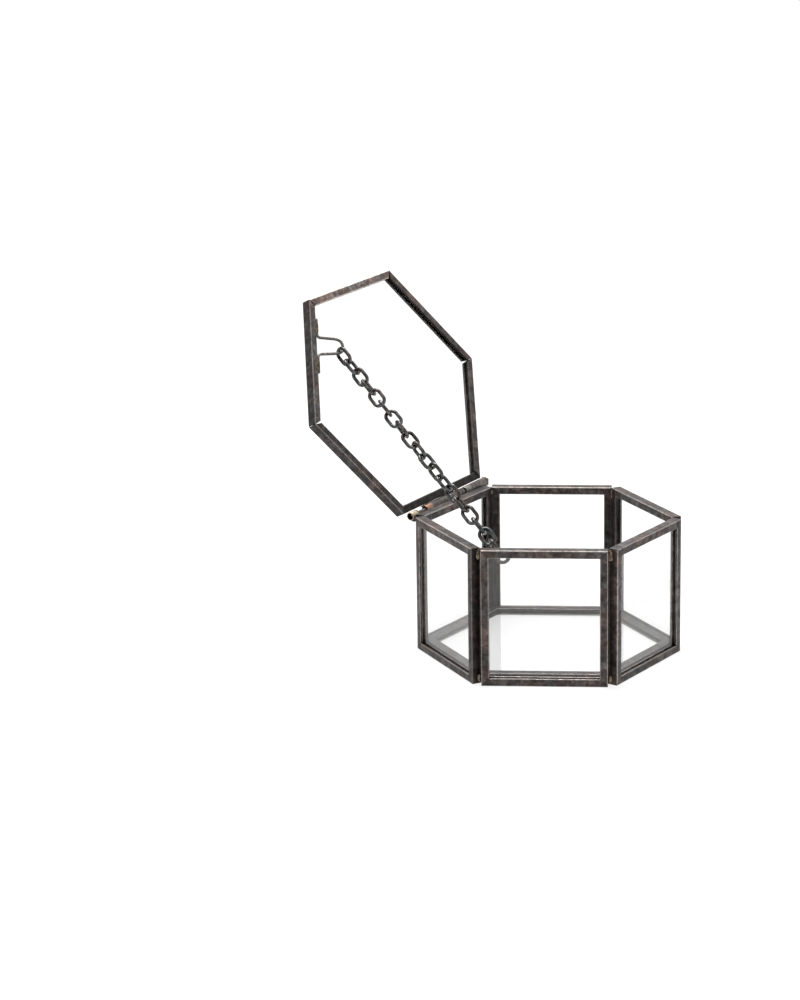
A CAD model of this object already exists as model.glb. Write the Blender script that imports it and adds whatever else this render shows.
# %% [markdown]
# # A six-sided glass casket box
# The box is six panes in dark metal channel, a pane for a floor and a six-sided lid that
# stands open on a tube hinge, held by a chain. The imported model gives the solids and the
# bodies; this script gives them rounded channel, lumpy solder, round wire and a patina.

# %% Load the frame
import math

import bpy
import numpy as np
from mathutils import Matrix


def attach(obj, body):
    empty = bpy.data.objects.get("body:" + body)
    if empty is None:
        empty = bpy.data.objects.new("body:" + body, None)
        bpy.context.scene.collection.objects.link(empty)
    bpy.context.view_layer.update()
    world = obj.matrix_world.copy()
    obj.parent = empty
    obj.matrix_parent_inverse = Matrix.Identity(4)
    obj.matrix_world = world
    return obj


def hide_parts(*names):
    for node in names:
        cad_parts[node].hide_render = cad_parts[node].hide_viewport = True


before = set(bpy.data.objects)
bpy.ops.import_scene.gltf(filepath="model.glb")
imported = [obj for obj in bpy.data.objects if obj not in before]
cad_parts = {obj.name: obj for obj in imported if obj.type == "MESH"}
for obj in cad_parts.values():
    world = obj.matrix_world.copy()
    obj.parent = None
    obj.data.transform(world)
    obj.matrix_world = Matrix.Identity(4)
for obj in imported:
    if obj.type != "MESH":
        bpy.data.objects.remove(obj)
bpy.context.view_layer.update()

# %% [markdown]
# ## Sizes
# These are the same driving sizes as the part's source, in metres. They could be measured
# off the solids instead, but a named size is easier to follow and to change. Everything
# below is placed from them, so that a visual piece lies where its solid does.

# %% Driving sizes
MM = 0.001
SIDES = 6
SIDE_W = 58 * MM
BOX_H = 65 * MM
LID_GAP = 0.4 * MM
CAME_T = 5 * MM
CAME_FACE = 3.7 * MM
FLOOR_T = 4.8 * MM
FLOOR_FACE = 4.4 * MM
FLOOR_FIT = 0.1 * MM
CAME_WALL = 1.2 * MM
OPEN_ANGLE = math.radians(117)
HINGE_TILT = math.radians(1.7)
HINGE_AZ = math.radians(60)
HINGE_OUT = 2.3 * MM
HINGE_DROP = 0.3 * MM
LINKS = 19
LINK_WIRE = 1.7 * MM
LINK_W = 7.0 * MM
LINK_PLAY = 0.15 * MM
CHAIN_TWIST = math.radians(137)
LOOP_WIRE = 1.4 * MM

# Degrees from one corner to the next, then the distances from the middle to a flat side
STEP_DEG = 360 // SIDES
INNER_AP = SIDE_W * math.cos(math.radians(STEP_DEG / 2))
OUTER_AP = INNER_AP + CAME_T
LID_Z = BOX_H + LID_GAP
print("over the flats: %.1f mm" % (2 * OUTER_AP / MM))

# %% [markdown]
# ## The hinge line and the chain line
# The hinge pin runs along the back-left side and rises a little towards the back corner.
# Turning a point about it by the open angle gives the open lid. Lid pieces could be drawn
# at their slant at once, but they are simpler closed, so they are built closed and turned.

# %% Hinge and chain directions
def unit(v):
    """A vector divided by its length."""
    return np.asarray(v, float) / np.linalg.norm(v)


def turned(points, axis, angle):
    """Points turned about an axis through the origin: the part along the axis stays, and
    the part across it becomes its cosine share plus its sine share of the cross product."""
    p = np.atleast_2d(points)
    along = (p @ axis)[:, None] * axis
    return p * math.cos(angle) + np.cross(axis, p) * math.sin(angle) + along * (1 - math.cos(angle))


hinge_out_dir = np.array([-math.sin(HINGE_AZ), math.cos(HINGE_AZ), 0])
hinge_axis = np.array([
    math.cos(HINGE_AZ) * math.cos(HINGE_TILT),
    math.sin(HINGE_AZ) * math.cos(HINGE_TILT),
    math.sin(HINGE_TILT),
])
hinge_up = np.cross(hinge_axis, hinge_out_dir)
hinge_mid = hinge_out_dir * (OUTER_AP + HINGE_OUT) + np.array([0, 0, BOX_H - HINGE_DROP])


def open_lid(points):
    """Closed lid points moved to the open lid: turned back about the hinge pin."""
    return hinge_mid + turned(np.atleast_2d(points) - hinge_mid, hinge_axis, -OPEN_ANGLE)


# Where the chain hangs on the lid's loop, and where it holds to the ring in the box: along
# the front, in from it, and down
HOOK_X, HOOK_IN, HOOK_DROP = 8.33 * MM, 11.76 * MM, 2.2 * MM
ANCHOR_X, ANCHOR_IN, ANCHOR_DROP = 9.4 * MM, 3.23 * MM, 4.4 * MM
hook_closed = np.array([HOOK_X, -INNER_AP + HOOK_IN, LID_Z - HOOK_DROP])
hook = open_lid(hook_closed)[0]
anchor = np.array([-SIDE_W / 2 + ANCHOR_X, -INNER_AP + ANCHOR_IN, BOX_H - ANCHOR_DROP])
chain_dir = unit(hook - anchor)
square = unit(hinge_axis - chain_dir * (hinge_axis @ chain_dir))
across = np.cross(chain_dir, square)
print("chain span %.1f mm" % (np.linalg.norm(hook - anchor) / MM))

# %% [markdown]
# ## From arrays to meshes
# Every new piece is a grid of points: one way round a section, the other along a path.
# One helper joins such a grid into faces, and it can close either way. The pieces could be
# modelled by hand, but an array gives every point a known place, and the wear and the tone
# of the metal are stored beside it.

# %% Grid to mesh
SHARP = math.radians(40)


def add_piece(name, points, faces, body, replaced, material, wear, tone=1.0):
    """Makes a mesh that is smooth but for its sharp bends, stores its wear and its tone,
    rides it on a body and lets it stand for its solid."""
    mesh = bpy.data.meshes.new(name)
    mesh.from_pydata(points.tolist(), [], faces)
    mesh.update()
    mesh.shade_smooth()
    mesh.set_sharp_from_angle(angle=SHARP)
    for key, value in (("wear", wear), ("tone", tone)):
        layer = mesh.attributes.new(key, "FLOAT", "POINT")
        value = np.broadcast_to(np.asarray(value, np.float32), len(points))
        layer.data.foreach_set("value", value.copy())
    mesh.materials.append(material)
    piece = bpy.data.objects.new(name, mesh)
    bpy.context.scene.collection.objects.link(piece)
    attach(piece, body)
    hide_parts(*replaced)


def grid_faces(rows, cols, close_rows, close_cols, start=0):
    """Quads of a grid: each joins a point to the next along the row and the next row."""
    r = np.arange(rows if close_rows else rows - 1)
    c = np.arange(cols if close_cols else cols - 1)
    r, c = np.meshgrid(r, c, indexing="ij")
    r2, c2 = (r + 1) % rows, (c + 1) % cols
    quads = np.stack([r * cols + c, r * cols + c2, r2 * cols + c2, r2 * cols + c], -1)
    return (quads.reshape(-1, 4) + start).tolist()


def outward(points, faces):
    """Turns all faces over if the volume that they enclose comes out negative."""
    volume = 0.0
    for face in faces:
        a, rest = points[face[0]], points[face[1:]]
        volume += np.sum(np.einsum("ij,j->i", np.cross(rest[:-1], rest[1:]), a))
    return faces if volume > 0 else [face[::-1] for face in faces]


# %% [markdown]
# ## Channel
# The came is a strip of U-shaped channel that grips the edge of the glass. A real strip
# has soft outer edges and round lips, which catch a thin line of light. A plain U with a
# Bevel modifier would come near it, but that rounds every edge alike and knows nothing of
# wear. So the section is a U with its own radius at each corner, and each strip is lofted
# from mitre to mitre with a hair's gap at the mitres. The strips bow by a few hundredths
# of a millimetre, as hand-cut ones do.

# %% Section of the channel
EDGE_R = 0.55 * MM
LIP_R = 0.42 * MM
ARC_STEPS = 4


def rounded(corners, radii, steps=ARC_STEPS):
    """A closed outline with round corners: each corner gives points on an arc that
    touches both of its sides, at the corner's own radius. Wear is the sine of the share
    of the arc, so it is greatest in the middle and nothing on the flats."""
    corners = np.asarray(corners, float)
    out, worn = [], []
    for i, radius in enumerate(radii):
        p = corners[i]
        a = unit(corners[i - 1] - p)
        b = unit(corners[(i + 1) % len(corners)] - p)
        half = math.acos(np.clip(a @ b, -1, 1)) / 2
        if radius == 0:
            out.append(p[None])
            worn.append([0.0])
            continue
        centre = p + unit(a + b) * radius / math.sin(half)
        start = p + a * radius / math.tan(half) - centre
        end = p + b * radius / math.tan(half) - centre
        sweep = math.atan2(start[0] * end[1] - start[1] * end[0], start @ end)
        t = np.linspace(0, 1, steps + 1) * sweep
        arc = np.stack([start[0] * np.cos(t) - start[1] * np.sin(t),
                        start[0] * np.sin(t) + start[1] * np.cos(t)], 1)
        out.append(centre + arc)
        worn.append(np.sin(math.pi * np.linspace(0, 1, steps + 1)))
    return np.vstack(out), np.concatenate(worn)


# Tone of the inside corners and of the cut ends
SOOT = 0.30


def channel(face, thick):
    """U section: first column is the depth in from the web, second the height. The
    inside corners get a sooty tone, which fades towards the lips."""
    web = CAME_WALL
    top = thick - CAME_WALL
    corners = [(0, 0), (face, 0), (face, CAME_WALL), (web, CAME_WALL),
               (web, top), (face, top), (face, thick), (0, thick)]
    radii = [EDGE_R, LIP_R, LIP_R, 0, 0, LIP_R, LIP_R, EDGE_R]
    points, worn = rounded(corners, radii)
    depth, height = points[:, 0], points[:, 1]
    between = (height > CAME_WALL / 2) & (height < thick - CAME_WALL / 2)
    return points, worn, np.where(np.isclose(depth, web) & between, SOOT, 1.0)


# %% Strips from mitre to mitre
MITRE_GAP = 0.06 * MM
MITRE_DARK = 0.35 * MM
NOTCH_FROM = 1.1 * MM
NOTCH_SLOPE = 0.25
BOW = 0.06 * MM
BOW_LIFT = 0.4
STATION = 2.0 * MM
LEAST_ROWS = 4
SEED_STEP = 17
NEARLY = 0.99
WAVES_ALONG = 1.3


def wander(t, seed, waves=4):
    """A smooth wobble between about -1 and 1: a few sines with seeded phases."""
    rng = np.random.default_rng(seed)
    total = np.zeros_like(t)
    for k in range(1, waves + 1):
        total += math.sqrt(1 / k) * np.sin(2 * math.pi * (k * t * WAVES_ALONG + rng.random()))
    return total / waves


def strips(corners, profile, seed, tones, notched=()):
    """Lofts the section along each side of a closed outline. A point at depth w lies on
    the line between the two mitre points that are w in from the outline's corners. At a
    notched corner the gap grows with the depth; the last row at each end is darker. Each
    strip has one tone for its web, one for its flanges and perhaps one for its lips."""
    section, worn, shade = profile
    corners = np.asarray(corners, float)
    count = len(corners)
    points, faces, wear, tone = [], [], [], []
    for i in range(count):
        a, b = corners[i], corners[(i + 1) % count]
        along = unit(b - a)
        inward = np.array([-along[1], along[0]])
        before = unit(a - corners[i - 1])
        after = unit(corners[(i + 2) % count] - b)
        slope_a = math.tan(math.acos(np.clip(before @ along, -1, 1)) / 2)
        slope_b = math.tan(math.acos(np.clip(along @ after, -1, 1)) / 2)
        length = np.linalg.norm(b - a)
        rows = max(LEAST_ROWS, int(length / STATION))
        edge = MITRE_DARK / length
        t = np.concatenate([[0], np.linspace(edge, 1 - edge, rows - 2), [1]])[:, None]
        w, h = section[:, 0][None], section[:, 1][None]
        vee = np.maximum(w - NOTCH_FROM, 0) * NOTCH_SLOPE
        start = w * slope_a + MITRE_GAP + vee * (i in notched)
        end = length - w * slope_b - MITRE_GAP - vee * ((i + 1) % count in notched)
        s = start + (end - start) * t
        bow = BOW * wander(t, seed * SEED_STEP + i) * np.sin(math.pi * t)
        depth = w + np.maximum(bow, -w)
        plane = a + s[..., None] * along + depth[..., None] * inward
        lift = h + BOW_LIFT * bow * np.ones_like(s)
        block = np.concatenate([plane, lift[..., None]], -1).reshape(-1, 3)
        first = sum(len(p) for p in points)
        cols = len(section)
        last = first + (rows - 1) * cols
        faces += grid_faces(rows, cols, False, True, first)
        faces += [list(range(first, first + cols)), list(range(last, last + cols))[::-1]]
        points.append(block)
        wear.append(np.tile(worn, rows))
        ends = np.where((t > 0) & (t < 1), 1.0, SOOT)
        web_tone, flange_tone, *lip_tone = tones[i]
        own = np.where(w > EDGE_R * NEARLY, flange_tone, web_tone)
        if lip_tone:
            own = np.where(w > w.max() - LIP_R, lip_tone[0], own)
        tone.append((own * ends * shade[None]).ravel())
    points = np.vstack(points)
    return points, outward(points, faces), np.concatenate(wear), np.concatenate(tone)


# %% [markdown]
# ## Finishes
# The metal is zinc-coated channel that was darkened with a patina. It is never one colour:
# cool grey and brown-mauve clouds a few millimetres wide, fine speckle, and paler worn
# edges. A painted picture could show this too, but noise on Object coordinates needs no
# unwrapping and has the same grain on every piece. The "wear" attribute, stored on each
# rounded edge, lets the pale metal through there, and "tone" darkens a strip as a whole.

# %% Node helpers
def new_material(name):
    """An empty node material with its output and one Principled shader joined."""
    material = bpy.data.materials.new(name)
    material.use_nodes = True
    nodes, links = material.node_tree.nodes, material.node_tree.links
    nodes.clear()
    out = nodes.new("ShaderNodeOutputMaterial")
    shader = nodes.new("ShaderNodeBsdfPrincipled")
    links.new(shader.outputs[0], out.inputs["Surface"])
    return material, nodes, links, shader, out


def noise(nodes, links, scale, detail=4.0, rough=0.6, distortion=0.0):
    """Fractal noise on Object coordinates; scale is in waves per metre."""
    where = nodes.new("ShaderNodeTexCoord")
    tex = nodes.new("ShaderNodeTexNoise")
    tex.inputs["Scale"].default_value = scale
    tex.inputs["Detail"].default_value = detail
    tex.inputs["Roughness"].default_value = rough
    tex.inputs["Distortion"].default_value = distortion
    links.new(where.outputs["Object"], tex.inputs["Vector"])
    return tex.outputs["Fac"]


def ramp(nodes, links, value, stops):
    """A colour ramp through (place, colour) stops."""
    node = nodes.new("ShaderNodeValToRGB")
    while len(node.color_ramp.elements) < len(stops):
        node.color_ramp.elements.new(0.5)
    for element, (place, colour) in zip(node.color_ramp.elements, stops):
        element.position = place
        element.color = (*colour, 1)
    links.new(value, node.inputs["Fac"])
    return node.outputs["Color"]


def mix(nodes, links, fac, a, b, blend="MIX"):
    """Mixes two colours by a factor, which may be a number or a socket."""
    node = nodes.new("ShaderNodeMix")
    node.data_type = "RGBA"
    node.blend_type = blend
    for socket, value in ((node.inputs[0], fac), (node.inputs[6], a), (node.inputs[7], b)):
        if hasattr(value, "is_output"):
            links.new(value, socket)
        elif isinstance(value, tuple):
            socket.default_value = (*value, 1)
        else:
            socket.default_value = value
    return node.outputs[2]


def maths(nodes, links, kind, a, b):
    """One arithmetic step; each side is a number or a socket."""
    node = nodes.new("ShaderNodeMath")
    node.operation = kind
    for socket, value in zip(node.inputs, (a, b)):
        if hasattr(value, "is_output"):
            links.new(value, socket)
        else:
            socket.default_value = value
    return node.outputs[0]


def bumped(nodes, links, shader, height, depth):
    """Feeds a height, in metres of depth at most, to the shader's normal."""
    node = nodes.new("ShaderNodeBump")
    node.inputs["Strength"].default_value = 1.0
    node.inputs["Distance"].default_value = depth
    links.new(height, node.inputs["Height"])
    links.new(node.outputs[0], shader.inputs["Normal"])


# %% Patinated metal
CLOUD_AT = (0.30, 0.50, 0.70)
TINT_SCALE, TINT_AT = 0.35, (0.38, 0.62)
COOL, WARM = (0.86, 0.97, 1.04), (1.16, 1.0, 0.95)
SPECK_SCALE, SPECK_AT, SPECK_SHARE = 9, (0.30, 0.52), 0.7
SPECK, CLEAN = (0.55, 0.55, 0.55), (1.0, 1.0, 1.0)
BROKEN_SCALE, BROKEN_OFF = 2.2, 0.18


def patina(name, dark, mid, light, worn, metal=0.75, rough=(0.36, 0.6), cloud=240, bump=0.00003):
    """Clouded dark metal: wide clouds choose between three tints, fine speckle darkens
    them, and the wear attribute mixes in the pale tint, broken up by its own noise."""
    material, nodes, links, shader, _ = new_material(name)
    clouds = noise(nodes, links, cloud, 5, 0.62, 0.4)
    colour = ramp(nodes, links, clouds, list(zip(CLOUD_AT, (dark, mid, light))))
    tint = noise(nodes, links, cloud * TINT_SCALE, 2, 0.5)
    warm = ramp(nodes, links, tint, list(zip(TINT_AT, (COOL, WARM))))
    colour = mix(nodes, links, 1.0, colour, warm, "MULTIPLY")
    fine = noise(nodes, links, cloud * SPECK_SCALE, 3, 0.7)
    speckle = ramp(nodes, links, fine, list(zip(SPECK_AT, (SPECK, CLEAN))))
    colour = mix(nodes, links, SPECK_SHARE, colour, speckle, "MULTIPLY")
    wear = nodes.new("ShaderNodeAttribute")
    wear.attribute_name = "wear"
    broken = noise(nodes, links, cloud * BROKEN_SCALE, 4, 0.7)
    patchy = maths(nodes, links, "SUBTRACT", broken, BROKEN_OFF)
    shown = maths(nodes, links, "MULTIPLY", wear.outputs["Fac"], patchy)
    colour = mix(nodes, links, shown, colour, worn)
    tone = nodes.new("ShaderNodeAttribute")
    tone.attribute_name = "tone"
    colour = mix(nodes, links, 1.0, colour, tone.outputs["Color"], "MULTIPLY")
    links.new(colour, shader.inputs["Base Color"])
    shader.inputs["Metallic"].default_value = metal
    dull = nodes.new("ShaderNodeMapRange")
    dull.inputs["To Min"].default_value = rough[1]
    dull.inputs["To Max"].default_value = rough[0]
    links.new(clouds, dull.inputs["Value"])
    links.new(dull.outputs[0], shader.inputs["Roughness"])
    bumped(nodes, links, shader, fine, bump)
    return material


# Each finish by its dark, middle and light tint, and then the pale tint of its worn edges
came_metal = patina("patinated_came", (0.020, 0.0165, 0.0155), (0.064, 0.053, 0.049),
                    (0.150, 0.130, 0.121), (0.78, 0.71, 0.66), cloud=300, bump=0.00002)
chain_metal = patina("dark_chain", (0.018, 0.018, 0.018), (0.062, 0.060, 0.058),
                     (0.15, 0.145, 0.14), (0.45, 0.43, 0.41), metal=1.0, rough=(0.16, 0.36),
                     cloud=420)
wire_metal = patina("dark_wire", (0.04, 0.037, 0.035), (0.10, 0.09, 0.085),
                    (0.20, 0.18, 0.165), (0.42, 0.39, 0.36), rough=(0.3, 0.5), cloud=400)
solder_metal = patina("aged_solder", (0.055, 0.043, 0.032), (0.15, 0.118, 0.085),
                      (0.40, 0.31, 0.20), (0.5, 0.43, 0.34), rough=(0.3, 0.55), cloud=520)
brass_metal = patina("tarnished_brass", (0.10, 0.075, 0.045), (0.27, 0.215, 0.14),
                     (0.52, 0.45, 0.33), (0.85, 0.78, 0.62), rough=(0.28, 0.5), cloud=420)
copper_metal = patina("copper_tinted_tube", (0.040, 0.035, 0.032), (0.095, 0.080, 0.070),
                      (0.20, 0.165, 0.140), (0.80, 0.40, 0.20), rough=(0.3, 0.5), cloud=330)
print("metals:", ", ".join(m.name for m in (
    came_metal, chain_metal, wire_metal, solder_metal, brass_metal, copper_metal)))

# %% [markdown]
# ## Glass
# Thin picture glass is almost invisible: a faint tint at the edges and a soft white
# reflection. Plain transparency with some gloss would be quicker, but a clear Principled
# shader also bends what lies behind it by about the real amount. Rays that only carry
# light or shadow pass straight through, so the metal inside the box is lit as it is in
# the open.

# %% Clear pane
GLASS_BEND = 1.45
PASS_TINT = (0.97, 0.98, 0.98)


def clear_glass(name, tint):
    """Principled glass for what the eye follows, plain transparency for light and shadow."""
    material, nodes, links, shader, out = new_material(name)
    shader.inputs["Base Color"].default_value = (*tint, 1)
    shader.inputs["Transmission Weight"].default_value = 1.0
    shader.inputs["Roughness"].default_value = 0.0
    shader.inputs["IOR"].default_value = GLASS_BEND
    through = nodes.new("ShaderNodeBsdfTransparent")
    through.inputs["Color"].default_value = (*PASS_TINT, 1)
    path = nodes.new("ShaderNodeLightPath")
    either = maths(nodes, links, "MAXIMUM",
                   path.outputs["Is Shadow Ray"], path.outputs["Is Diffuse Ray"])
    join = nodes.new("ShaderNodeMixShader")
    links.new(either, join.inputs[0])
    links.new(shader.outputs[0], join.inputs[1])
    links.new(through.outputs[0], join.inputs[2])
    links.new(join.outputs[0], out.inputs["Surface"])
    return material


pane_glass = clear_glass("clear_glass", (0.945, 0.945, 0.943))


def dress(node, material):
    """Gives a node that keeps its own mesh its finish."""
    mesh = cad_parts[node].data
    mesh.materials.clear()
    mesh.materials.append(material)


for k in range(1, SIDES + 1):
    dress(f"side_glass_{k}", pane_glass)
dress("floor_glass", pane_glass)
dress("lid_glass", pane_glass)
print("panes:", SIDES + 2)

# %% [markdown]
# ## The six side frames
# Each side is a rectangle of channel standing on edge. One frame could be made and copied
# round, but then all six would bow alike, so each is lofted with its own seed. Its outline
# is drawn flat, with the channel's height as the thickness of the side, and then stood up.

# %% Side frames
def side_axes(k):
    """Side k's directions: along it, outwards from the box, and up."""
    angle = math.radians(-90 + STEP_DEG * k)
    out = np.array([math.cos(angle), math.sin(angle), 0])
    return np.cross([0, 0, 1.0], out), out, np.array([0, 0, 1.0])


# Tones of each frame's foot, right stile, top and left stile, seen from outside: the web
# first, then the flanges
side_tones = [
    ((0.8, 0.9), (1.0, 1.0), (1.0, 1.0), (0.9, 1.1)),
    ((0.8, 0.9), (1.0, 1.0), (1.0, 1.0), (1.2, 1.2)),
    ((0.6, 0.6), (0.4, 0.5), (1.0, 1.0), (0.4, 0.5)),
    ((0.6, 0.6), (0.4, 0.5), (1.0, 1.0), (0.4, 0.5)),
    ((0.6, 0.6), (0.4, 0.5), (1.0, 1.0), (0.4, 0.5)),
    ((0.8, 0.9), (0.5, 0.6), (1.0, 1.0), (1.0, 1.0)),
]
side_profile = channel(CAME_FACE, CAME_T)
upright = [(-SIDE_W / 2, 0), (SIDE_W / 2, 0), (SIDE_W / 2, BOX_H), (-SIDE_W / 2, BOX_H)]
for k in range(SIDES):
    flat, quads, wear, tone = strips(upright, side_profile, k + 1, side_tones[k])
    along, out, up = side_axes(k)
    stood = flat[:, :1] * along + (INNER_AP + flat[:, 2:]) * out + flat[:, 1:2] * up
    add_piece(f"side_frame_{k + 1}", stood, outward(stood, quads), "box",
              [f"side_came_{k + 1}"], came_metal, wear, tone)
print("side frames:", SIDES)

# %% [markdown]
# ## Floor and lid frames
# Both are six-sided and lie flat. They could be cut from a flat plate, but lofting keeps the
# channel's section true along each strip. The floor frame sits inside the sides. The lid's
# is one strip bent round, so its flanges open a little at the corners.

# %% Flat frames
def hexagon(apothem):
    """Corners of a six-sided outline, anticlockwise from +X, at its corner radius."""
    angle = np.radians(np.arange(SIDES) * STEP_DEG)
    radius = apothem / math.cos(math.radians(STEP_DEG / 2))
    return np.stack([np.cos(angle), np.sin(angle)], 1) * radius


floor_tones = [(0.5, 0.6)] * SIDES
floor_profile = channel(FLOOR_FACE, FLOOR_T)
FLOOR_SEED = 11
floor_line = hexagon(INNER_AP - FLOOR_FIT)
flat, quads, wear, tone = strips(floor_line, floor_profile, FLOOR_SEED, floor_tones)
add_piece("floor_frame", flat, quads, "box", ["floor_came"], came_metal, wear, tone)

# Lid tones from the strip at the right corner round to the one in front of it
lid_tones = [(1.1, 1.1, 0.08), (1.2, 1.0, 0.3), (0.3, 0.25), (0.75, 0.8), (0.6, 1.4), (2.1, 2.3)]
OPEN_CORNERS = (0, 1, 2, 4, 5)
LID_SEED = 23
lid_line = hexagon(OUTER_AP)
lid_profile = channel(CAME_FACE, CAME_T)
flat, quads, wear, tone = strips(lid_line, lid_profile, LID_SEED, lid_tones, OPEN_CORNERS)
opened = open_lid(flat + np.array([0, 0, LID_Z]))
add_piece("lid_frame", opened, outward(opened, quads), "lid", ["lid_came"], came_metal,
          wear, tone)
print("top of the open lid: %.1f mm" % (opened[:, 2].max() / MM))

# %% [markdown]
# ## Round wire
# The chain, the ring, the loop and the pin are all round wire. A curve with a round bevel
# would give the same tube, but here each point's place on the wire is known, so wear can be
# worked out from it. A circle is carried along a path, square to it everywhere; closed
# paths join up, open ones get domed ends.

# %% Wire along a path
STEEP = 0.9
DOME_REACH = 0.6
BEND_ROOM = 2.2


def carried_frames(path, closed):
    """Directions along, aside and across at each point: the aside direction starts
    square to the path and keeps the least possible twist from point to point."""
    ahead = np.roll(path, -1, 0) - path if closed else np.gradient(path, axis=0)
    back = path - np.roll(path, 1, 0) if closed else ahead
    along = ahead / np.linalg.norm(ahead, axis=1)[:, None]
    along = along + back / np.linalg.norm(back, axis=1)[:, None]
    along /= np.linalg.norm(along, axis=1)[:, None]
    aside = np.zeros_like(along)
    helper = np.array([0, 0, 1.0]) if abs(along[0][2]) < STEEP else np.array([1.0, 0, 0])
    aside[0] = unit(np.cross(along[0], helper))
    for i in range(1, len(path)):
        aside[i] = unit(aside[i - 1] - along[i] * (aside[i - 1] @ along[i]))
    return along, aside, np.cross(along, aside)


def wire(path, radius, closed, around=20, dome=4):
    """Points at radius times the cosine aside and the sine across, along the whole path.
    An open wire's last rings shrink by the cosine of a quarter turn to dome its ends."""
    path = np.asarray(path, float)
    radius = np.broadcast_to(radius, len(path)).astype(float)
    if not closed:
        q = np.linspace(0, math.pi / 2, dome, endpoint=False)[1:]
        first, last = unit(path[0] - path[1]), unit(path[-1] - path[-2])
        head = path[0] + first * radius[0] * DOME_REACH * np.sin(q)[::-1, None]
        tail = path[-1] + last * radius[-1] * DOME_REACH * np.sin(q)[:, None]
        radius = np.concatenate([radius[0] * np.cos(q)[::-1], radius, radius[-1] * np.cos(q)])
        path = np.vstack([head, path, tail])
    along, aside, cross = carried_frames(path, closed)
    angle = np.linspace(0, 2 * math.pi, around, endpoint=False)[None, :, None]
    ring = np.cos(angle) * aside[:, None] + np.sin(angle) * cross[:, None]
    points = (path[:, None] + ring * radius[:, None, None]).reshape(-1, 3)
    faces = grid_faces(len(path), around, closed, True)
    if not closed:
        last = (len(path) - 1) * around
        faces += [list(range(around))[::-1], list(range(last, last + around))]
    return points, outward(points, faces)


def bends(points, radius, steps=7):
    """A path with each corner rounded off: a curve from a point before the corner to one
    after it, pulled to the corner by the square law of a Bezier curve."""
    points = np.asarray(points, float)
    out = [points[:1]]
    t = np.linspace(0, 1, steps)[:, None]
    for p, c, n in zip(points, points[1:], points[2:]):
        a = c + unit(p - c) * min(radius, np.linalg.norm(p - c) / BEND_ROOM)
        b = c + unit(n - c) * min(radius, np.linalg.norm(n - c) / BEND_ROOM)
        out.append(a * (1 - t) ** 2 + 2 * c * t * (1 - t) + b * t ** 2)
    out.append(points[-1:])
    return np.vstack(out)


# %% [markdown]
# ## Chain
# Nineteen oval links run straight from the lid's loop down to the ring. One link could be
# copied, but each rides on a body of its own, so each is made at its own place. Every other
# link lies a quarter turn over, and a small turn is added from link to link, so the chain
# is twisted by 137 degrees in all, as the photographed one is. Worn high spots sit outside
# each bend. All are drawn closed, though the solid of the sixteenth has a slot in one end.

# %% Links
link_r = LINK_WIRE / 2
span = np.linalg.norm(hook - anchor)
link_inner = (span + LINKS * LINK_PLAY - link_r + LOOP_WIRE / 2) / LINKS
link_bend = LINK_W / 2 - link_r
link_straight = link_inner / 2 + link_r - link_bend
BEND_STEPS = 16
LEG_STEPS = 6
WORN_FROM = 1.1
WORN_MOST = 0.9


def oval():
    """Centre line of a link: two half circles joined by straight legs."""
    q = np.linspace(-math.pi / 2, math.pi / 2, BEND_STEPS)
    right = np.stack([link_straight + link_bend * np.cos(q), link_bend * np.sin(q)], 1)
    legs = np.linspace(link_straight, -link_straight, LEG_STEPS)[1:-1]
    top = np.stack([legs, np.full_like(legs, link_bend)], 1)
    return np.vstack([right, top, -right, -top])


centre_line = oval()
for i in range(1, LINKS + 1):
    roll = (0 if i % 2 else math.pi / 2) + (i - 1) * CHAIN_TWIST / (LINKS - 1)
    normal = math.cos(roll) * square + math.sin(roll) * across
    sideways = np.cross(normal, chain_dir)
    up_chain = link_inner / 2 + link_r + (LINKS - i) * (link_inner - LINK_PLAY)
    middle = anchor + chain_dir * up_chain
    path = middle + centre_line[:, :1] * chain_dir + centre_line[:, 1:] * sideways
    points, faces = wire(path, link_r, True)
    reach = np.linalg.norm(points - middle, axis=1)
    wear = np.clip((reach - link_inner / 2 - link_r * WORN_FROM) / link_r, 0, 1) * WORN_MOST
    add_piece(f"link_{i:02d}_wire", points, faces, f"link_{i:02d}", [f"chain_link_{i:02d}"],
              chain_metal, wear)
print("links: %d, inner length %.2f mm" % (LINKS, link_inner / MM))

# %% [markdown]
# ## Ring and loop
# The ring is soldered behind the front rail, half hidden by it. The loop is one wire with
# two straight feet along the lid's flange and a far end that stands off from the glass. It
# could be drawn as a curve by hand, but named corners with rounded bends keep it on its
# solid.

# %% Anchor ring
RING_D = 5.6 * MM
RING_STEPS = 48
RING_WEAR = 0.25
ring_mid = anchor + chain_dir * (LINK_WIRE + LINK_PLAY - RING_D / 2)
ring_roll = CHAIN_TWIST - math.pi / 2
ring_side = np.cross(math.cos(ring_roll) * square + math.sin(ring_roll) * across, chain_dir)
q = np.linspace(0, 2 * math.pi, RING_STEPS, endpoint=False)[:, None]
ring_line = ring_mid + RING_D / 2 * (np.cos(q) * chain_dir + np.sin(q) * ring_side)
points, faces = wire(ring_line, link_r, True)
add_piece("ring_wire", points, faces, "box", ["anchor_ring"], wire_metal, RING_WEAR)
print("ring: %.1f mm over the middle of its wire" % (RING_D / MM))

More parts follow.
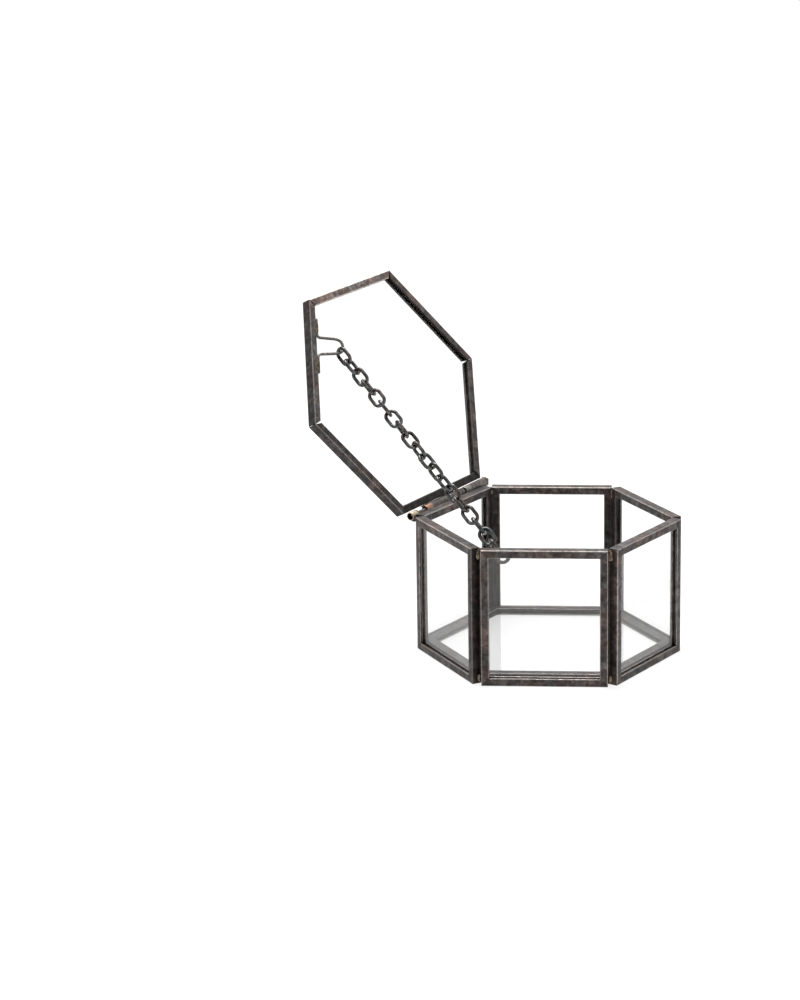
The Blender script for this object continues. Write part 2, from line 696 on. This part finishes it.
# %% Lid loop
FOOT_RIGHT = 13.7 * MM
FOOT_LEFT = 5.1 * MM
FOOT_LEN = 9.4 * MM
FOOT_FIT = 0.15 * MM
LOOP_REACH = 2.2 * MM
LEG_X = 14.8 * MM
LEG_SHARE = 0.86
CROWN_X = 13.7 * MM
CROWN_SHARE = 1.08
LOOP_BEND = 2.0 * MM
LOOP_STAND = 0.05 * MM
LOOP_WEAR = 0.35
foot_y = -(OUTER_AP - CAME_FACE) + FOOT_FIT + LOOP_WIRE / 2
foot_z = LID_Z + LOOP_WIRE / 2 + LOOP_STAND
hook_side = np.array([math.cos(HINGE_AZ), math.sin(HINGE_AZ), 0])


def on_loop(x, share):
    """A corner of the loop: share 0 lies on the feet's line and share 1 on the hook's."""
    y = foot_y + share * (hook_closed[1] - foot_y)
    z = foot_z + share * (hook_closed[2] - foot_z)
    return np.array([x, y, z])


loop_line = np.array([
    on_loop(FOOT_RIGHT + FOOT_LEN, 0),
    on_loop(FOOT_RIGHT, 0),
    on_loop(LEG_X, LEG_SHARE),
    on_loop(CROWN_X, CROWN_SHARE),
    hook_closed + hook_side * LOOP_REACH,
    hook_closed - hook_side * LOOP_REACH,
    on_loop(FOOT_LEFT, 0),
    on_loop(FOOT_LEFT - FOOT_LEN, 0),
])
loop_path = open_lid(bends(loop_line, LOOP_BEND))
points, faces = wire(loop_path, LOOP_WIRE / 2, False)
add_piece("loop_wire", points, faces, "lid", ["lid_loop"], wire_metal, LOOP_WEAR)
loop_length = np.linalg.norm(np.diff(loop_path, axis=0), axis=1).sum()
print("loop wire: %.1f mm long" % (loop_length / MM))

# %% [markdown]
# ## Hinge
# Three tubes turn on one wire pin: the outer two are soldered to the box, the long middle
# one to the lid. A Screw modifier could turn their section too; as arrays, the tone of the
# mouth and of the heated end goes with it. So a closed section with rolled lips is turned
# about the pin's line.

# %% Tubes and pin
TUBE_D = 4 * MM
PIN_D = 1.8 * MM
PIN_FIT = 0.08 * MM
NEAR_X = -30.5 * MM
NEAR_LEN = 5.5 * MM
PIN_BARE = 7 * MM
LID_TUBE_LEN = 32 * MM
TUBE_GAP = 1.5 * MM
FAR_LEN = 18 * MM
lid_x = NEAR_X + NEAR_LEN + PIN_BARE
far_x = lid_x + LID_TUBE_LEN + TUBE_GAP


def at_hinge(local):
    """Hinge places: along the pin, outwards from the box, and up."""
    moved = hinge_mid + local[:, :1] * hinge_axis
    return moved + local[:, 1:2] * hinge_out_dir + local[:, 2:] * hinge_up


HEATED = 4 * MM
FADE = 1 * MM
MOUTH = 1.55 * MM
MOUTH_DEPTH = 2 * MM
MOUTH_TONE = 0.04
MOUTH_EDGE = 0.02 * MM
MOUTH_LIP, BORE_LIP, TUBE_LIP = 0.1 * MM, 0.12 * MM, 0.3 * MM
TUBE_STEPS = 40
TUBE_WEAR = 0.9


def tube(x0, length):
    """A wall section with round lips turned about the pin: across is the radius times
    the cosine and up the radius times the sine. The mouth is wide and dark, and the
    first few millimetres took colour from the heat."""
    bore, outer = PIN_D / 2 + PIN_FIT, TUBE_D / 2
    end, faded = x0 + length, x0 + min(HEATED + FADE, length - FADE)
    corners = [(x0, MOUTH), (x0 + MOUTH_DEPTH, bore), (end, bore), (end, outer),
               (faded, outer), (x0 + HEATED, outer), (x0, outer)]
    section, worn = rounded(corners, [MOUTH_LIP, 0, BORE_LIP, TUBE_LIP, 0, 0, TUBE_LIP])
    heated = section[:, 0] < x0 + HEATED + TUBE_LIP
    worn[heated & (section[:, 1] > outer - TUBE_LIP / 2)] = 1.0
    shade = np.where(section[:, 1] < MOUTH - MOUTH_EDGE, MOUTH_TONE, 1.0)
    angle = np.linspace(0, 2 * math.pi, TUBE_STEPS, endpoint=False)[:, None]
    x = np.broadcast_to(section[:, 0], (len(angle), len(section)))
    r = np.broadcast_to(section[:, 1], x.shape)
    local = np.stack([x, r * np.cos(angle), r * np.sin(angle)], -1).reshape(-1, 3)
    faces = grid_faces(len(angle), len(section), True, True)
    points = at_hinge(local)
    wear, tone = np.tile(worn, len(angle)) * TUBE_WEAR, np.tile(shade, len(angle))
    return points, outward(points, faces), wear, tone


for name, x0, length, body, node, metal in (
    ("near_tube", NEAR_X, NEAR_LEN, "box", "hinge_tube_near", brass_metal),
    ("far_tube", far_x, FAR_LEN, "box", "hinge_tube_far", wire_metal),
    ("lid_tube", lid_x, LID_TUBE_LEN, "lid", "hinge_tube_lid", copper_metal),
):
    points, faces, wear, tone = tube(x0, length)
    add_piece(name, points, faces, body, [node], metal, wear, tone)

PIN_SHORT = 0.3 * MM
PIN_STEPS = 24
PIN_WEAR = 0.3
pin_line = np.array([(NEAR_X + MOUTH_DEPTH, 0, 0), (far_x + FAR_LEN - PIN_SHORT, 0, 0)])
pin_share = np.linspace(0, 1, PIN_STEPS)[:, None]
pin_path = at_hinge(pin_line[0] + (pin_line[1] - pin_line[0]) * pin_share)
points, faces = wire(pin_path, PIN_D / 2, False)
add_piece("pin_wire", points, faces, "box", ["hinge_pin"], wire_metal, PIN_WEAR)
print("hinge over its tubes: %.1f mm" % ((far_x + FAR_LEN - NEAR_X) / MM))

# %% [markdown]
# ## Solder
# Solder was run by hand, so no two dabs are alike: low lumps that fill the corner grooves
# at top and foot with a dark seam between, a ridge along each hinge tube and small pads
# at the ring and the loop. Lumps could be sculpted, but seeded waves give the same lumps on
# each run. Each one is a rounded box pushed in and out by a few waves.

# %% Lumps
LUMP_WAVES, WAVE_REACH, WAVE_PHASE = 5, 3.0, 6
SOLDER_WEAR = 0.15


def lump(centre, half, axes, seed, rough=0.13, square_power=0.7, rings=18, around=26):
    """A superellipsoid: sine and cosine of two angles, each raised to a power below one,
    so it is boxy, times a wobble made of seeded waves over the two angles."""
    rng = np.random.default_rng(seed)
    v = np.linspace(0, math.pi, rings + 2)[1:-1, None]
    u = np.linspace(0, 2 * math.pi, around, endpoint=False)[None]

    def power(value):
        return np.sign(value) * np.abs(value) ** square_power

    x = power(np.sin(v)) * power(np.cos(u))
    y = power(np.sin(v)) * power(np.sin(u))
    z = power(np.cos(v)) * np.ones_like(u)
    p = np.stack([x, y, z], -1).reshape(-1, 3)
    p = np.vstack([p, [(0, 0, 1), (0, 0, -1)]])
    wobble = np.ones(len(p))
    for _ in range(LUMP_WAVES):
        way = rng.normal(size=3) * WAVE_REACH
        wobble += rough / 2 * np.sin(p @ way + rng.random() * WAVE_PHASE)
    p = p * wobble[:, None] * np.asarray(half)
    points = centre + p @ np.asarray(axes)
    faces = grid_faces(rings, around, False, True)
    top, foot = rings * around, rings * around + 1
    first, last = list(range(around)), list(range((rings - 1) * around, rings * around))
    faces += [[top, a, b] for a, b in zip(first[1:] + first[:1], first)]
    faces += [[foot, a, b] for a, b in zip(last, last[1:] + last[:1])]
    return points, outward(points, faces)


def lumps(name, parts, body, node, material, tones=None):
    """Joins several lumps, each with its own tone, into one piece."""
    points, faces, tone = [], [], []
    for (own, own_faces), shade in zip(parts, tones or [1.0] * len(parts)):
        first = sum(len(p) for p in points)
        faces += [[i + first for i in face] for face in own_faces]
        points.append(own)
        tone += [shade] * len(own)
    points = np.vstack(points)
    add_piece(name, points, faces, body, [node], material, SOLDER_WEAR, tone)


# %% Corner dabs and seams
UP = np.array([0, 0, 1.0])
SEAM_R = 0.6 * MM
SEAM_IN = 0.62 * MM
SEAM_STEPS, SEAM_AROUND, SEAM_WOBBLE = 40, 12, 0.15
DAB_OUT = 1.15 * MM
DAB_DEEP, DAB_WIDE = 1.3 * MM, 1.0 * MM
# Each dab's height, its half height and its share of the seed: the top one, then the foot
DABS = ((BOX_H - 3.0 * MM, 2.5 * MM, 1), (2.7 * MM, 2.1 * MM, 0))
DAB_SEED = 40
# Tones of the top dab, the foot dab and the seam
DAB_TONES = (1.0, 0.8, 0.18)
for k in range(SIDES):
    angle = math.radians(STEP_DEG * (k - 1))
    away = np.array([math.cos(angle), math.sin(angle), 0])
    axes = [away, np.cross(UP, away), UP]
    parts = []
    for z, tall, more in DABS:
        middle = away * (SIDE_W + DAB_OUT) + UP * z
        parts.append(lump(middle, (DAB_DEEP, DAB_WIDE, tall), axes, DAB_SEED + 2 * k + more))
    foot = away * (SIDE_W + SEAM_IN) + UP * SEAM_R
    heights = np.linspace(0, BOX_H - 2 * SEAM_R, SEAM_STEPS)[:, None]
    thick = SEAM_R * (1 + SEAM_WOBBLE * wander(heights[:, 0] / BOX_H, k))
    parts.append(wire(foot + heights * UP, thick, False, SEAM_AROUND))
    lumps(f"corner_dabs_{k + 1}", parts, "box", f"corner_solder_{k + 1}", solder_metal,
          DAB_TONES)
print("corner solders:", SIDES)

# %% Solder at the hinge
hinge_axes = [hinge_axis, hinge_out_dir, hinge_up]
RIDGE_ROUGH, RIDGE_POWER, RIDGE_AROUND = 0.10, 0.5, 40
# Place outwards and up from the pin, then half the width and half the height
NEAR_RIDGE = (-1.45 * MM, -1.65 * MM, 0.85 * MM, 0.75 * MM)
FAR_RIDGE = (-1.45 * MM, -1.6 * MM, 0.85 * MM, 0.75 * MM)
LID_RIDGE = (-1.3 * MM, 1.85 * MM, 0.95 * MM, 0.72 * MM)
END_CAP = (0, 0, 1.9 * MM, 1.9 * MM)
CAP_BACK, CAP_LEN = 0.4 * MM, 2 * MM
LID_RIDGE_IN = 0.7 * MM


def ridge(x0, length, y, z, half_y, half_z, seed):
    """A lump stretched along the pin, at a place across and above it."""
    place = at_hinge(np.array([[x0 + length / 2, y, z]]))[0]
    return lump(place, (length / 2, half_y, half_z), hinge_axes, seed,
                rough=RIDGE_ROUGH, square_power=RIDGE_POWER, around=RIDGE_AROUND)


lumps("box_hinge_solder", [
    ridge(NEAR_X, NEAR_LEN, *NEAR_RIDGE, seed=61),
    ridge(far_x, FAR_LEN, *FAR_RIDGE, seed=62),
    ridge(far_x + FAR_LEN - CAP_BACK, CAP_LEN, *END_CAP, seed=63),
], "box", "hinge_solder_box", solder_metal)
points, faces = ridge(lid_x + LID_RIDGE_IN, LID_TUBE_LEN - 2 * LID_RIDGE_IN, *LID_RIDGE, seed=64)
points = open_lid(points)
add_piece("lid_hinge_solder", points, outward(points, faces), "lid", ["hinge_solder_lid"],
          solder_metal, SOLDER_WEAR)

# %% Solder at the loop and the ring
PAD_RIGHT, PAD_LEFT = 5.15 * MM, 4.25 * MM
PAD_OUT, PAD_DROP = 1.0 * MM, 0.15 * MM
PAD_HALF = (4.2 * MM, 1.7 * MM, 0.75 * MM)
PAD_ROUGH = 0.09
PAD_TONES = (0.45, 0.45)
RING_PAD_X, RING_PAD_IN, RING_PAD_DROP = 2.3 * MM, 1.2 * MM, 1.0 * MM
RING_PAD_HALF = (1.3 * MM, 1.2 * MM, 2.1 * MM)
pads = []
for x, seed in ((FOOT_RIGHT + PAD_RIGHT, 71), (FOOT_LEFT - FOOT_LEN + PAD_LEFT, 72)):
    centre = np.array([x, foot_y - PAD_OUT, foot_z - PAD_DROP])
    own, own_faces = lump(centre, PAD_HALF, np.eye(3), seed, rough=PAD_ROUGH)
    own = open_lid(own)
    pads.append((own, outward(own, own_faces)))
lumps("loop_solder", pads, "lid", "lid_loop_solder", solder_metal, PAD_TONES)
ring_pad = np.array([ring_mid[0] + RING_PAD_X, -INNER_AP + RING_PAD_IN,
                     BOX_H - CAME_FACE / 2 - RING_PAD_DROP])
lumps("ring_solder", [lump(ring_pad, RING_PAD_HALF, np.eye(3), seed=81)],
      "box", "anchor_solder", solder_metal)
print("ring solder top: %.1f mm up" % ((ring_pad[2] + RING_PAD_HALF[2]) / MM))

# %% [markdown]
# ## Studio
# The box stands on a white sweep. It could be left out and the background made clear, but
# then nothing would catch a shadow. The floor glows white to the eye, so that only the
# softest shadow stays under the box. A wide soft lamp above and a little behind lights
# the tops of the rails; the fronts face the darker side of the studio.

# %% Floor and world
FLOOR_WHITE = (0.9, 0.9, 0.9)
FLOOR_ROUGH = 0.9
FLOOR_GLOW, GLOW_SHARE = 1.12, 0.72
FLOOR_HALF = 3.0
WORLD_FILL = 0.75


def seen_rays(nodes, links):
    """One for the rays that the eye follows: straight, off a gloss or through glass."""
    path = nodes.new("ShaderNodeLightPath")
    turned_rays = maths(nodes, links, "MAXIMUM",
                        path.outputs["Is Glossy Ray"], path.outputs["Is Transmission Ray"])
    return maths(nodes, links, "MAXIMUM", path.outputs["Is Camera Ray"], turned_rays)


def white_floor():
    """A white surface that takes a share of real shadow and glows white for the rest."""
    material, nodes, links, shader, out = new_material("white_sweep")
    shader.inputs["Base Color"].default_value = (*FLOOR_WHITE, 1)
    shader.inputs["Roughness"].default_value = FLOOR_ROUGH
    glow = nodes.new("ShaderNodeEmission")
    glow.inputs["Strength"].default_value = FLOOR_GLOW
    seen = seen_rays(nodes, links)
    join = nodes.new("ShaderNodeMixShader")
    links.new(maths(nodes, links, "MULTIPLY", seen, GLOW_SHARE), join.inputs[0])
    links.new(shader.outputs[0], join.inputs[1])
    links.new(glow.outputs[0], join.inputs[2])
    links.new(join.outputs[0], out.inputs["Surface"])
    return material


floor_mesh = bpy.data.meshes.new("floor_sweep")
floor_corners = np.array([(-1, -1, 0), (1, -1, 0), (1, 1, 0), (-1, 1, 0)]) * FLOOR_HALF
floor_mesh.from_pydata(floor_corners.tolist(), [], [(0, 1, 2, 3)])
floor_mesh.materials.append(white_floor())
floor = bpy.data.objects.new("floor_sweep", floor_mesh)
bpy.context.scene.collection.objects.link(floor)

world = bpy.data.worlds.new("studio_world")
bpy.context.scene.world = world
world.use_nodes = True
nodes, links = world.node_tree.nodes, world.node_tree.links
nodes.clear()
out = nodes.new("ShaderNodeOutputWorld")
seen = seen_rays(nodes, links)
shade = nodes.new("ShaderNodeMapRange")
shade.inputs["To Min"].default_value = WORLD_FILL
shade.inputs["To Max"].default_value = 1.0
links.new(seen, shade.inputs["Value"])
sky = nodes.new("ShaderNodeBackground")
links.new(shade.outputs[0], sky.inputs["Strength"])
sky.inputs["Color"].default_value = (1, 1, 1, 1)
links.new(sky.outputs[0], out.inputs["Surface"])


# %% Lamps
def standing(right, up, back, place):
    """A placing matrix: its columns are an object's right, up and back, and its place."""
    matrix = np.eye(4)
    matrix[:3] = np.stack([right, up, back, place], 1)
    return Matrix(matrix.tolist())


def softbox(name, place, target, size, watts):
    """A square soft lamp at a place, facing a target."""
    lamp = bpy.data.lights.new(name, "AREA")
    lamp.size = size
    lamp.energy = watts
    obj = bpy.data.objects.new(name, lamp)
    bpy.context.scene.collection.objects.link(obj)
    back = unit(np.asarray(place) - np.asarray(target))
    right = unit(np.cross([0, 1, 0.01], back))
    obj.matrix_world = standing(right, np.cross(back, right), back, place)


softbox("top_lamp", place=(-0.1, 0.25, 0.9), target=(0, 0, 0.05), size=0.5, watts=11.0)

# %% [markdown]
# ## Camera
# A long lens from a metre and a half away, a little above the box, as the photograph was
# taken. The directions were found by fitting the box's edges.

# %% Camera
SENSOR = 36.0
LENS = 113.34
CAMERA_PLACE = np.array([49.23, -1416.66, 482.34]) * MM
VIEW_DIR = (-0.080278, 0.957537, -0.276908)
VIEW_RIGHT = np.array([0.996753, 0.078863, -0.016260])
camera_data = bpy.data.cameras.new("photo_camera")
camera_data.sensor_fit = "VERTICAL"
camera_data.sensor_height = SENSOR
camera_data.lens = LENS
camera_data.dof.use_dof = False
camera = bpy.data.objects.new("photo_camera", camera_data)
bpy.context.scene.collection.objects.link(camera)
view_dir = unit(VIEW_DIR)
right_dir = unit(VIEW_RIGHT - view_dir * (VIEW_RIGHT @ view_dir))
up_dir = np.cross(right_dir, view_dir)
camera.matrix_world = standing(right_dir, up_dir, -view_dir, CAMERA_PLACE)
bpy.context.scene.camera = camera
bpy.context.scene.view_settings.view_transform = "Standard"
print("camera: %.2f m from the box" % np.linalg.norm(CAMERA_PLACE))
